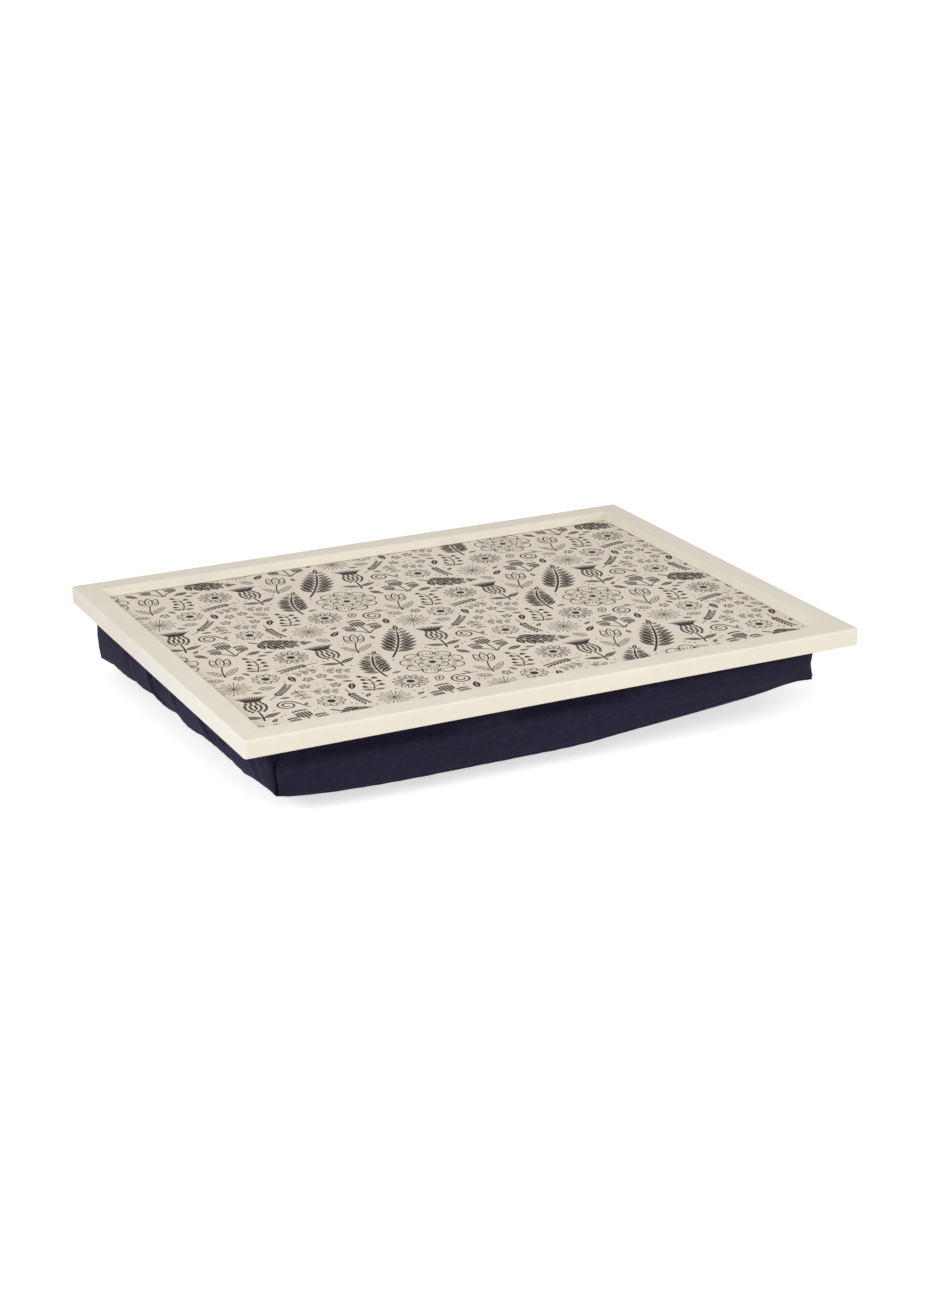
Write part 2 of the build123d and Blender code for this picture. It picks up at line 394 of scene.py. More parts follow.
def frond(length=58, pairs=8, leaf=15, breadth=5, sweep=52, bend=5):
    """A dark branch with paired leaflets."""
    stem = curve(0, bend + 0.5j * length, -bend * 0.4 + 1j * length, count=40)
    way = np.gradient(stem)
    yield stroke(stem[:37], 1.3, 1, 0.4)
    for k in range(pairs):
        share = 0.2 + 0.7 * k / (pairs - 1)
        at = int(share * 39)
        ahead = way[at] / abs(way[at])
        fullness = 0.72 + 0.5 * math.sin(math.pi * min(1, share * 1.05))
        size = leaf * fullness * (1.12 - 0.55 * share)
        for hand in (1, -1):
            out = heading(hand * (sweep - 8 * share)) * ahead
            foot, tip = stem[at] + out * 1.1, stem[at] + out * size
            yield from solid_leaf(foot, tip, breadth * size / leaf)
    tip = stem[36] + way[36] / abs(way[36]) * leaf * 0.7
    yield from solid_leaf(stem[36], tip, breadth * 0.75)


def seed_head():
    """A thistle: a scaled cup under a tuft, on a leafy stalk."""
    yield stroke(curve(0, 1 + 7j, 0 + 15j, count=8), 1.1, 1, 1)
    scale = np.array([0.3 - 0.1j, 1.25 + 1.2j, 3.3j, -1.25 + 1.2j, -0.3 - 0.1j])
    for row in range(7):
        height = 15.5 + 2.5 * row
        reach = 8.4 * math.sin(math.pi * (0.16 + 0.62 * (row + 0.6) / 7)) ** 0.8
        number = max(3, int(reach / 1.55))
        for k in range(number):
            x = (k - (number - 1) / 2) * 2 * reach / number * 0.98
            lean = np.array([0, 0, 0.1 * x, 0, 0])
            yield x + 1j * height + (scale + lean)
    for k in range(13):
        lean = (k - 6) / 6
        foot = 4.2 * lean + 33.5j
        tip = foot + 6.5 * lean + (10.5 - 2 * abs(lean)) * 1j
        yield stroke(curve(foot, foot + 1.5 * lean + 5j, tip, count=4), 0.85, 1, 0.4)
    for hand in (1, -1):
        yield from solid_leaf(0.4 + 5j, hand * 13 + (12 if hand > 0 else 9) * 1j, 4.6)


def petal(reach, root, width, angle, pen=0.6, veins=2):
    """An outlined petal between two distances from the flower's middle."""
    turn = heading(angle)
    waist = root * 0.7 + reach * 0.3
    path = curve(
        root - 0.3j * width, waist - 1.0j * width, reach * 1.12 - 0.75j * width, reach * 0.94,
        reach * 1.12 + 0.75j * width, waist + 1.0j * width, root + 0.3j * width,
    )
    yield stroke(path * turn, pen, 0.6, 0.6)
    for k in range(veins):
        off = (k - (veins - 1) / 2) * width * 0.42
        far = root + (reach - root) * (0.55 if k % 2 else 0.45)
        vein = curve(root + 0.6 + 0.5j * off, far + 1j * off, count=3)
        yield stroke(vein * turn, pen * 0.8)


def bloom():
    """A large open flower in two rings of petals."""
    yield disc(0, 2.6, 12)
    for turn in ring(12):
        yield disc(4.1 * turn, 0.45, 6)
    for k in range(7):
        yield from petal(12.3, 5.3, 5.4, 360 / 7 * k, 0.7, 3)
    for k in range(9):
        yield from petal(22, 12.4, 8.0, 40 * k + 12, 0.75, 5)


def daisy(petals=13, reach=12.5):
    yield disc(0, 2.9, 12)
    for k in range(11):
        yield disc(3.9 * np.exp(2j * math.pi * (k + 0.5) / 11), 0.35, 5)
    for k in range(petals):
        yield from petal(reach, 4.6, 21 / petals + 0.6, 360 / petals * k, 0.65, 1)


def pods():
    """Three poppy seed heads on their stalks."""
    for place, lean, size in ((-8.5 + 13j, -2, 0.9), (0.5 + 21j, 0.5, 1.2), (9.5 + 11j, 2.5, 0.95)):
        stalk = curve(0.3 * lean, lean + 0.4j * place.imag, place - 4.2j * size, count=6)
        yield stroke(stalk, 0.9, 1, 1)
        for k in range(5):
            left, right = (k - 2.5) / 2.5 * 0.98, (k - 1.5) / 2.5 * 0.98
            x = np.linspace(left + 0.05, right - 0.05, 3)
            low = -5 * np.sqrt(1 - x**2)
            high = 3.4 * np.sqrt(1 - 0.75 * x**2)
            rim = np.append(4.6 * x, 4.6 * x[::-1]) + 1j * np.append(low, high[::-1])
            yield place + size * rim
        top = place + 4.6j * size
        lid = curve(
            top - 4.6 * size - 0.4j, top - 2 * size + 1.5j * size,
            top + 2 * size + 1.5j * size, top + 4.6 * size - 0.4j, count=6,
        )
        yield stroke(lid, 1.3, 0.5, 0.5)
        for k in range(5):
            tooth = top + (k - 2) * 1.7 * size + (1.9 - 0.25 * abs(k - 2)) * 1j * size
            yield disc(tooth, 0.55, 6)


def tulip():
    foot = 0.5 + 20j
    yield stroke(curve(0, -1.5 + 9j, foot, count=8), 0.8, 1, 1)
    for hand in (1, -1):
        tip = foot + hand * 6 + 15.5j
        outer = curve(foot, foot + hand * 9 + 1j, foot + hand * 6.5 + 9j, tip, count=8)
        inner = curve(tip, foot + hand * 3.5 + 12.5j, foot + hand * 2.6 + 10j, count=5)
        yield stroke(outer, 0.85)
        yield stroke(inner, 0.75)
        for k in range(3):
            start = foot + hand * (2.2 + 1.25 * k) + (2.4 + 0.6 * k) * 1j
            yield stroke(curve(start, start + hand * 0.7 + (6.5 - k) * 1j, count=3), 0.55)
        yield from line_leaf(0.1 + 2j, hand * 10.5 + (17 if hand > 0 else 14) * 1j, 3.4, 0.55, 3)
    for hand in (-1, 1):
        side = curve(foot + 1j, foot + hand * 5.5 + 8j, foot + hand + 15j, foot + 17.5j, count=8)
        yield stroke(side, 0.85)
    yield stroke(curve(foot + 4j, foot + 13.5j, count=4), 0.5)


def clock(spokes=20, reach=10.5):
    """A head of seeds, ready to blow away."""
    yield disc(0, 1.7, 9)
    for k, turn in enumerate(ring(spokes)):
        far = reach * (1 if k % 2 else 0.82)
        yield stroke(np.array([2.2, far]) * turn, 0.45, 1, 1)
        yield stroke(np.array([far - 0.2 - 1.25j, far + 0.7, far - 0.2 + 1.25j]) * turn, 0.5)
        yield disc((far + 1.3) * turn, 0.42, 5)


def berries(number=7, length=24):
    stem = curve(0, 4 + 0.5j * length, -1 + 1j * length, count=20)
    yield stroke(stem, 0.75, 1, 0.5)
    around = np.exp(1j * np.linspace(math.radians(75), math.radians(375), 11))
    for k in range(number):
        at = stem[4 + int(15 * k / (number - 1))]
        hand = 1 if k % 2 else -1
        end = at + hand * (5.6 - 0.3 * k) + 2.6j
        yield stroke(curve(at, at + hand * 2.5 + 0.4j, end, count=5), 0.55, 1, 1)
        yield np.append(end + 1.95 * around, end + 0.75 * heading(45))
    yield from solid_leaf(0.6 + 1j, -7.5 + 3.5j, 3.2)
    yield from solid_leaf(0.8 + 1.4j, 8.5 + 3j, 3.2)


def ear(grains=8, length=27):
    stem = curve(0, 2.5 + 0.5j * length, 0 + 1j * length, count=20)
    yield stroke(stem, 0.6, 1, 0.5)
    for k in range(grains):
        at = stem[6 + int(13 * k / (grains - 1))]
        for hand in (1, -1):
            belly, tip = hand * 2.9 + 3.3j, hand * 0.9 + 2.2j
            yield at + np.array([hand * 0.4, hand * 2.4 + 0.6j, belly, tip])


def sprig(pairs=3, length=16, leaf=6.2):
    stem = curve(0, 1.5 + 0.5j * length, 1j * length)
    yield stroke(stem, 0.55, 1, 0.5)
    for k in range(pairs):
        at = stem[2 + int(8 * k / max(1, pairs - 1))]
        for hand in (1, -1):
            tip = at + leaf * (1 - 0.12 * k) * heading(90 - hand * 52)
            yield from line_leaf(at, tip, 1.9, 0.45, 0)


def curl():
    turn = np.linspace(0, 3.6 * math.pi, 36)
    path = (7.2 - 0.5 * turn) * np.exp(1j * turn)
    stalk = curve(path[0] - 14j, path[0] - 6j, path[0] - 0.6j, count=8)
    path = np.concatenate((stalk[:-1], path))
    yield stroke(path[:22], 1.05, 0.4, 1)
    yield stroke(path[21:], 1.05, 1, 0.6)
    yield from solid_leaf(path[2], path[2] + 5 + 4.5j, 2.4)


def small_flower(reach=4.3):
    yield disc(0, 0.8, 7)
    for turn in ring(5):
        yield from solid_leaf(1.25 * turn, reach * turn, 2.7, 0.35, 6)


def seeds(number=3, spread=2.4):
    for k in range(number):
        place = spread * np.exp(2j * math.pi * (k / number + 0.1)) * (0.7 + 0.3 * k)
        yield disc(place, 0.62 - 0.1 * k, 7)


MOTIFS = (  # drawing, copies in a repeat, clear space round it, and how far it may lean, in degrees
    (frond, 1, 2.6, 30),
    (bloom, 1, 3.2, 180),
    (lambda: frond(46, 9, 11.5, 4.4, 60, -7), 1, 2.4, 160),
    (tulip, 2, 2.8, 22),
    (seed_head, 2, 2.5, 24),
    (pods, 2, 2.5, 16),
    (lambda: frond(38, 6, 12, 5.5, 50, 6), 1, 2.4, 160),
    (daisy, 2, 2.5, 180),
    (berries, 2, 2.3, 40),
    (clock, 2, 2.4, 180),
    (curl, 2, 2.2, 180),
    (lambda: daisy(9, 9.5), 2, 2.3, 180),
    (ear, 3, 1.9, 180),
    (sprig, 4, 1.9, 180),
    (lambda: solid_leaf(0, 12j, 5), 6, 1.8, 180),
    (lambda: line_leaf(0, 11j, 4.2), 5, 1.8, 180),
    (small_flower, 6, 1.6, 180),
    (lambda: ear(5, 15), 5, 1.6, 180),
    (lambda: solid_leaf(0, 7.5j, 3, 0.4), 12, 1.4, 180),
    (seeds, 18, 1.3, 180),
    (lambda: [disc(0, 0.75, 7)], 50, 1.2, 0),
)
REPEAT = (158, 138)  # millimetres, with every second column dropped by half
LAYOUT_SEED = 15
NEAR = 4  # a motif goes where most of the space that it takes is this near to others
APART = 40.0  # how far a motif keeps its own copies off
APART_WEIGHT, CHANCE_WEIGHT = 0.9, 0.05  # against that share of its space
BARRED = -9  # the score of a place that is taken
LARGE = 2  # the clear space beyond which a motif is a large one
LARGE_TURNS, SMALL_TURNS = 5, 3  # turns that are tried for each copy
EDGE = 2  # bare paper along the edge, under the rails' lips
COLUMNS, ROWS = range(-3, 4), range(-3, 5)  # of repeats, to cover the board
MERGED = 1e-3  # points closer than this become one


def grown(grid, radius):
    """A grid of cells with every set cell grown by a radius, on a repeating sheet."""
    reach = int(math.ceil(radius))
    out = np.zeros_like(grid)
    for i in range(-reach, reach + 1):
        for j in range(-reach, reach + 1):
            if i * i + j * j <= radius * radius:
                out |= np.roll(grid, (i, j), (0, 1))
    return out


def cells(shape, polygons):
    """The cells that a drawing's outlines pass through."""
    grid = np.zeros(shape, bool)
    for polygon in polygons:
        ends = np.roll(polygon, -1)
        for share in (0, 0.25, 0.5, 0.75):
            at = polygon + (ends - polygon) * share
            i, j = (np.floor(part).astype(int) for part in (at.real, at.imag))
            grid[i % shape[0], j % shape[1]] = True
    return grid


def lay_out():
    """Every motif of one repeat, packed closely, each kind kept away from its own copies."""
    rng = np.random.default_rng(LAYOUT_SEED)
    wide, tall = REPEAT
    shape = (2 * wide, tall)
    half_drop = (wide, tall // 2)
    taken = np.zeros(shape, bool)
    placed = []
    across, up = np.meshgrid(np.arange(2 * wide) - wide, np.arange(tall) - tall // 2, indexing="ij")
    halo = np.fft.ifftshift(np.exp(-(across**2 + up**2) / (2 * APART**2)))
    for draw, copies, clear, lean in MOTIFS:
        drawing = list(draw())
        middle = sum(p.mean() for p in drawing) / len(drawing)
        drawing = [p - middle for p in drawing]
        crowd = np.zeros(shape)
        for _ in range(copies):
            best = None
            full, near = np.fft.rfft2(taken), np.fft.rfft2(grown(taken, NEAR))
            for _ in range(LARGE_TURNS if clear > LARGE else SMALL_TURNS):
                turn = heading(rng.uniform(-lean, lean))
                turned = [p * turn for p in drawing]
                mask = grown(cells(shape, turned), clear)
                if (mask & np.roll(mask, half_drop, (0, 1))).any():
                    continue
                form = np.conj(np.fft.rfft2(mask))
                clash = np.fft.irfft2(full * form, shape)
                fit = np.fft.irfft2(near * form, shape) / mask.sum()
                score = fit + rng.random(shape) * CHANCE_WEIGHT - APART_WEIGHT * crowd
                score[clash > 0.5] = BARRED
                spot = np.unravel_index(score.argmax(), shape)
                if score[spot] > BARRED + 1 and (best is None or score[spot] > best[0]):
                    best = (score[spot], spot, turned, mask)
            if best is None:
                break
            _, (x, y), turned, mask = best
            for dx, dy in ((0, 0), half_drop):
                crowd += np.roll(halo, (x + dx, y + dy), (0, 1))
                taken |= np.roll(mask, (x + dx, y + dy), (0, 1))
            placed.append([p + complex(x, y) for p in turned])
    return placed


def print_outlines():
    """The sheet, the same without its bare edge, and every outline drawn on it."""
    across, up = sheet_high.x / MM, sheet_high.y / MM
    sheet = np.array((-across - 1j * up, across - 1j * up, across + 1j * up, -across + 1j * up))
    outlines = [sheet, sheet - EDGE * (np.sign(sheet.real) + 1j * np.sign(sheet.imag))]
    wide, tall = REPEAT
    drawings = lay_out()
    for column in COLUMNS:
        for row in ROWS:
            shift = complex(column * wide, row * tall + tall // 2 * (column % 2))
            for polygon in (p + shift for drawing in drawings for p in drawing):
                if abs(polygon.real).min() < across - EDGE and abs(polygon.imag).min() < up - EDGE:
                    ahead = np.roll(polygon, -1)
                    turns = (polygon.real * ahead.imag - ahead.real * polygon.imag).sum()
                    outlines.append(polygon if turns > 0 else polygon[::-1])
    return outlines


def open_edges(form):
    return [e for e in form.edges if e.is_boundary]


def carried_on(form):
    """Extends a form at its open edges, and gives the new vertices."""
    made = bmesh.ops.extrude_edge_only(form, edges=open_edges(form))
    return [v for v in made["geom"] if isinstance(v, bmesh.types.BMVert)]


def close_up(form, mesh):
    """Fills what is still open in a form and makes it the mesh."""
    bmesh.ops.holes_fill(form, edges=open_edges(form))
    bmesh.ops.recalc_face_normals(form, faces=form.faces)
    form.to_mesh(mesh)
    form.free()


def make_printed_face():
    """The printed layer: its top is cut into paper and ink along the drawings' outlines."""
    spots, loops = [], []
    for polygon in print_outlines():
        loops.append(list(range(len(spots), len(spots) + len(polygon))))
        spots += [Vector((z.real, z.imag)) for z in polygon]
    spots, _, cut, _, _, inside = delaunay_2d_cdt(spots, [], loops, 1, MERGED, True)
    form = bmesh.new()
    verts = [form.verts.new((x * MM, y * MM, sheet_high.z)) for x, y in spots]
    for corners, found in zip(cut, inside):
        if 0 in found:
            face = form.faces.new([verts[k] for k in corners])
            face.material_index = int(1 in found and len(found) > 2)
    bmesh.ops.delete(form, geom=[v for v in form.verts if not v.link_faces], context="VERTS")
    for v in carried_on(form):
        v.co.z = sheet_low.z
    mesh = bpy.data.meshes.new("printed_face")
    close_up(form, mesh)
    mesh.materials.append(print_ground())
    mesh.materials.append(print_ink())
    piece = new_object("printed_face", mesh)
    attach(piece, "root")
    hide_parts("print_laminate")


# The bag. Its form repeats the shares and sizes of the CAD. Panels 0 to 3 are the front, right,
# back and left wall. Wall k goes from corner k to the next. Panel 4 is the underside.
CORNERS = ((-1, -1), (1, -1), (1, 1), (-1, 1))
SIDES = ((0, 1), (1, 2), (2, 3), (3, 0))
UNDER = 4
# Hem corners, in from the inner edge of the rails' underside, along X and Y
HEM_GAPS = np.array(((13, 2), (16, 2), (9, 3), (3, 3))) * MM
LEVEL_SHARES = (-0.2, 0.48, 0.8, 1)  # heights, lowest first, as shares of the cushion's height
LEVEL_OUT = np.array((0.6, 2.2, 1.6, 0)) * MM
LEVEL_BOW = np.array((2.6, 3.6, 2.4, 0.8)) * MM
CROWN_PLACES = np.array((-1.1, -0.9, -0.58, -0.18, 0.22, 0.58, 0.9, 1.1))
CROWN_SHARES = np.array((  # heights at these places: at the front, in the middle, at the back
    (0.44, 0.33, 0.24, 0.24, 0.3, 0.43, 0.54, 0.6),
    (0.58, 0.35, 0.07, 0.004, 0.004, 0.07, 0.36, 0.58),
    (0.21, 0.17, 0.12, 0.14, 0.18, 0.27, 0.36, 0.42),
))
GLUE_GAP = 0.25 * MM  # between the board and its rebate
CROWN_INSET = 2 * MM
REST_CUT = 0.5 * MM  # how far the crown is lowered, so that the floor flattens it
HEM_TOP = rail_bottom - 0.1 * MM
HEM_TURN = 0.95  # under the board the hem turns in to this share of its outline
SEAM_START, SEAM_ROUNDS = 0.3, 12  # share of the height where the search for the seam starts
cushion_height = rail_bottom
rail_foot = lip_inset - GLUE_GAP
crown_reach = half_width - rail_foot - CROWN_INSET

# Grids of the bag: a plain one that is blown up, and a closer one with the seams
SIM_LINES = [np.linspace(0, 1, count) for count in (85, 65, 10)]
SIM_FRAMES = 24
REST_CELLS = 9  # cells from the seam to the held middle of the underside
SLACK = (0.6, 0.6, 0.6, 1, 0.5)  # of each panel, as a share of the most
SLACK_ENDS = 4  # cells at each end of the left seam without that wall's slack under it
MOST_SLACK = 0.06
SWELL_CAP = 9 * MM
CELL = 2.6 * MM
SEAM_STEPS = np.array((0.45, 0.5, 0.6, 0.8, 1.1, 1.5, 2)) * MM  # cells beside a seam
WALL_SHARE = 0.75  # about a wall's length from hem to seam, against the cushion's height

# Forms of the panels, in millimetres. Places along a side are shares from its first corner. A
# fade is how far off the nearest seam a form has most of its size.
CORNER_SEAM, LOWER_SEAM, SEAM_WIDTH = 5, 1.6, 0.95
PINCH, PINCH_REACH = 8, 5  # below the hem, where the corner seams are drawn in twice as deep
PUFF, PUFF_FADE = 1.6, 6
HEM_REACH = 3  # below the hem, where the walls keep to their plain form
SHOULDER = 0.4  # of a hollow's reach, from its floor down to the full width of the bag
CLEFT = (1.5, 5)  # beside a seam, where a panel turns from the seam's direction to its own
CORNER_PUFFS = (1.8, 0, 0, 0)  # by side, further out beside its first corner
CORNER_PUFF_REACH, CORNER_PUFF_FADE = 24, 4
PUCKER_DEPTH = (0.2, 0.6, 0.6, 0.9)  # by side, on its panel and on the underside beside it
PUCKER_REACH, PUCKER_SPACING = 9, 11
PUCKER_END = 2  # no pucker is closer than this to the end of its seam
PUCKER_FADE = 0.8
PUCKER_SEED = 5
DEPTH_RANGE, REACH_RANGE, SPACING_RANGE = (0.3, 1), (0.5, 1.5), (0.6, 1.5)  # shares of these
LEAN_RANGE, WIDTH_RANGE = (-0.5, 0.5), (1.4, 2.6)
HOLLOWS = (  # by side: middle, half length, depth (below 0 it stands out), how far down it goes
    ((0.16, 0.17, 7.5, 16), (0.355, 0.06, -3.8, 24), (0.5, 0.115, 6.5, 14), (0.79, 0.18, -3.6, 24)),
    ((0.3, 0.16, 3.5, 10), (0.72, 0.12, 3.5, 11)),
    ((0.22, 0.12, 3.5, 9), (0.6, 0.16, 4, 10)),
    ((0.14, 0.13, 3, 14), (0.44, 0.1, 1.5, 8)),
)
HOLLOW_FADE = 6
CORNER_DROPS = (-0.3, 0.4, 0.6, -1)
SEAM_DROPS = (  # how far the lower seam hangs below the plain form, at shares of each side
    ((0.05, 0.3), (0.11, 0.6), (0.22, 0.1), (0.33, -0.3), (0.43, 0.2), (0.54, 1.1),
     (0.65, -0.1), (0.77, -0.2), (0.9, -0.5), (0.972, -1.3)),
    ((0.04, -0.7), (0.13, 0.8), (0.24, -0.2), (0.36, 1.0), (0.5, 0.1), (0.63, 1.1),
     (0.76, 0.2), (0.88, 0.9), (0.96, -0.4)),
    ((0.03, -0.5), (0.1, 0.6), (0.2, -0.2), (0.31, 0.9), (0.44, 0.2), (0.56, 0.8),
     (0.68, -0.1), (0.8, 0.9), (0.93, 0.1)),
    ((0.03, -0.9), (0.075, -2.1), (0.13, -0.8), (0.168, 0.2), (0.21, -0.8), (0.26, 0.7),
     (0.31, 0.1), (0.338, -0.6), (0.381, 2.3), (0.43, 0.3), (0.475, 0.9), (0.534, 4.2),
     (0.577, 2.8), (0.628, 1.6), (0.68, 1.0), (0.722, 1.4), (0.781, 1.2), (0.824, 2.7),
     (0.892, 0.2), (0.952, -0.7)),
)
DROP_REACH = 16
CORNER_SWAYS = (  # a corner seam off its straight line: share of the height, along X, along Y
    ((0.22, 0.6, 0), (0.44, -0.7, 0), (0.65, 0, 0), (0.9, 0.8, 0)),
    ((0.19, 1.8, -0.3), (0.39, 0.4, 0), (0.58, -0.9, 0.3), (0.77, -0.6, 0), (0.95, 0.2, 0)),
    ((0.2, 0.9, 0.6), (0.5, -0.5, 0), (0.85, 0.3, 0.4)),
    ((0.19, -0.8, 0), (0.38, -0.5, 0.4), (0.6, -0.4, 0), (0.8, 0, -0.3), (0.93, 0.4, -0.5)),
)
SWAY_REACH = 11
PITS = (4, 0, 1, 1.5)  # by corner, where two panels meet under the rails
PIT_REACH = 5
PIT_FOOT, PIT_RUN = 13, 5  # how far down a pit goes, and how long it takes to run out
FOLDS = (  # by side: place at the hem, place at the foot, depth, half width
    ((0.05, 0.018, 0.8, 4),),
    ((0.16, 0.08, 0.9, 4.5), (0.55, 0.62, 0.9, 5), (0.9, 0.84, 1.1, 4)),
    ((0.12, 0.05, 1, 4.5), (0.42, 0.48, 0.8, 5.5), (0.86, 0.93, 1.1, 4.5)),
    ((0.22, 0.25, 0.8, 5), (0.35, 0.415, 2.6, 4), (0.5, 0.54, 0.8, 4),
     (0.6, 0.72, 2.4, 4), (0.73, 0.79, 1.2, 3.5), (0.88, 0.95, 1.2, 4)),
)
FOLD_FADE = 4
FOLD_TAIL = 1.4  # of its half width, over which a fold dies out


def curve_through(x, xs, ys):
    """A smooth curve through points, or through rows of them."""
    slope = np.gradient(ys, xs, axis=0)
    x = np.clip(x, xs[0], xs[-1])
    k = np.clip(np.searchsorted(xs, x) - 1, 0, len(xs) - 2)
    shape = k.shape + (1,) * (ys.ndim - 1)
    step = (xs[k + 1] - xs[k]).reshape(shape)
    t = (x - xs[k]).reshape(shape) / step
    return (
        (2 * t**3 - 3 * t**2 + 1) * ys[k] + (t**3 - 2 * t**2 + t) * step * slope[k]
        + (3 * t**2 - 2 * t**3) * ys[k + 1] + (t**3 - t**2) * step * slope[k + 1]
    )


def crown(x, y):
    """Height of the underside."""
    along, across = x / half_length, y / crown_reach
    front, middle, back = (curve_through(along, CROWN_PLACES, row) for row in CROWN_SHARES)
    dip, lean = (front + back) / 2 - middle, (back - front) / 2
    return (middle + dip * across**2 + lean * across) * cushion_height - REST_CUT


def hem_corner(corner):
    parts = zip(CORNERS[corner], (half_length, half_width), HEM_GAPS[corner])
    return np.array([sign * (half - rail_foot - gap) for sign, half, gap in parts])


def side_point(side, along, height):
    """Points of the bag's wall. along goes from 0 to 1 over a side, and height is in metres."""
    first, last = (hem_corner(corner) for corner in SIDES[side])
    run = last - first
    outward = np.array((run[1], -run[0])) / np.hypot(*run)
    level = np.array(LEVEL_SHARES) * cushion_height
    out, bow = (np.interp(height, level, values)[..., None] for values in (LEVEL_OUT, LEVEL_BOW))
    ends = zip((first, last), SIDES[side])
    first, last = (end + np.array(CORNERS[corner]) * out for end, corner in ends)
    along = along[..., None]
    return first + (last - first) * along + outward * bow * 4 * along * (1 - along)


def seam_height(side, along):
    """Where the wall meets the underside."""
    height = np.full(along.shape, SEAM_START * cushion_height)
    for _ in range(SEAM_ROUNDS):
        place = side_point(side, along, height)
        height = crown(place[:, 0], place[:, 1])
    return height


def graded(length, both=True):
    """Shares of a length for grid lines, which come closer together at its end or both ends."""
    near = np.cumsum(SEAM_STEPS)
    start = near[-1] if both else 0
    inner = np.linspace(start, length - near[-1], round((length - near[-1] - start) / CELL) + 1)
    lines = np.concatenate((inner, length - near[-2::-1], [length]))
    return (np.concatenate(([0], near[:-1], lines)) if both else lines) / length


def bag_mesh(long, short, rows):
    """Walls and underside as one sheet of quads: its vertices, its faces, and a grid of vertices
    per panel. It goes along and down a wall, and right and back over the underside."""
    points = []
    for side in range(4):
        along = (long, short)[side % 2][:-1]
        height = HEM_TOP + (seam_height(side, along) - HEM_TOP)[:, None] * rows
        spots = side_point(side, np.broadcast_to(along[:, None], height.shape), height)
        points.append(np.concatenate((spots, height[..., None]), -1))
    starts = np.cumsum([0] + [len(p) for p in points])
    points = np.concatenate(points)
    wall = np.arange(points.shape[0] * points.shape[1]).reshape(points.shape[:2])
    wrapped = np.concatenate((wall, wall[:1]))
    grids = [wrapped[starts[k]:starts[k + 1] + 1] for k in range(4)]
    under = np.zeros((len(long), len(short)), int)
    inner = (len(long) - 2, len(short) - 2)
    under[1:-1, 1:-1] = wall.size + np.arange(inner[0] * inner[1]).reshape(inner)
    front, right, back, left = (grid[:, -1] for grid in grids)
    under[:, 0], under[-1], under[:, -1], under[0] = front, right, back[::-1], left[::-1]
    grids.append(under)
    flat = points.reshape(-1, 3)
    front, right, back, left = (flat[k] for k in (under[:, 0], under[-1], under[:, -1], under[0]))
    S, T = long[:, None, None], short[None, :, None]
    base = (
        (1 - T) * front[:, None] + T * back[:, None] + (1 - S) * left[None] + S * right[None]
        - (1 - S) * (1 - T) * front[0] - S * (1 - T) * front[-1]
        - (1 - S) * T * back[0] - S * T * back[-1]
    )[1:-1, 1:-1]
    base[..., 2] = np.maximum(crown(base[..., 0], base[..., 1]), 0)
    quads = [(g[:-1, :-1], g[:-1, 1:], g[1:, 1:], g[1:, :-1]) for g in grids]
    faces = [np.stack(corners, -1).reshape(-1, 4) for corners in quads]
    return np.concatenate((flat, base.reshape(-1, 3))), faces, grids


def new_piece(name, verts, faces):
    mesh = bpy.data.meshes.new(name)
    mesh.from_pydata(verts.tolist(), [], np.concatenate(faces).tolist())
    mesh.update()
    return new_object(name, mesh)


def blown_up():
    """How far Blender's cloth moves the plain bag, held at its hem and where it rests, with
    slack in its panels. Gives the grids too."""
    start, faces, grids = bag_mesh(*SIM_LINES)
    bag = new_piece("plain_bag", start, faces)
    under = grids[UNDER]
    rest = under[REST_CELLS:-REST_CELLS, REST_CELLS:-REST_CELLS]
    held = np.unique(np.concatenate([g[:, 0] for g in grids[:4]] + [rest.ravel()]))
    bag.vertex_groups.new(name="held").add(held.tolist(), 1, "REPLACE")
    loose = np.zeros(len(start))
    loose[under] = SLACK[UNDER]
    for side in range(4):
        loose[grids[side][1:-1]] = SLACK[side]
        loose[grids[side][:, -1]] = 0
    loose[under[1:REST_CELLS, SLACK_ENDS:-SLACK_ENDS]] = SLACK[3]
    slack = bag.vertex_groups.new(name="slack")
    for k in np.flatnonzero(loose):
        slack.add([int(k)], float(loose[k]), "REPLACE")
    cloth = bag.modifiers.new("fill", "CLOTH")
    rules = cloth.settings
    rules.quality, rules.mass, rules.air_damping = 6, 0.25, 2
    rules.tension_stiffness, rules.compression_stiffness = 25, 20
    rules.shear_stiffness, rules.bending_stiffness = 8, 0.4
    rules.use_pressure = True
    rules.uniform_pressure_force = 1.2
    rules.vertex_group_mass, rules.vertex_group_shrink = "held", "slack"
    rules.shrink_min, rules.shrink_max = 0, -MOST_SLACK
    rules.effector_weights.gravity = 0
    cloth.collision_settings.use_collision = False
    cloth.point_cache.frame_start, cloth.point_cache.frame_end = 1, SIM_FRAMES
    scene = bpy.context.scene
    for step in range(1, SIM_FRAMES + 1):
        scene.frame_set(step)
    result = bag.evaluated_get(bpy.context.evaluated_depsgraph_get())
    moved = np.array([v.co for v in result.data.vertices]) - start
    scene.frame_set(1)
    bpy.data.objects.remove(bag)
    moved *= np.minimum(1, SWELL_CAP / np.maximum(np.linalg.norm(moved, axis=1), 1e-9))[:, None]
    return moved, grids


def panel_lines(long, short, rows):
    """The grid lines of each panel, both ways."""
    return (long, rows), (short, rows), (long, rows), (short, rows), (long, short)


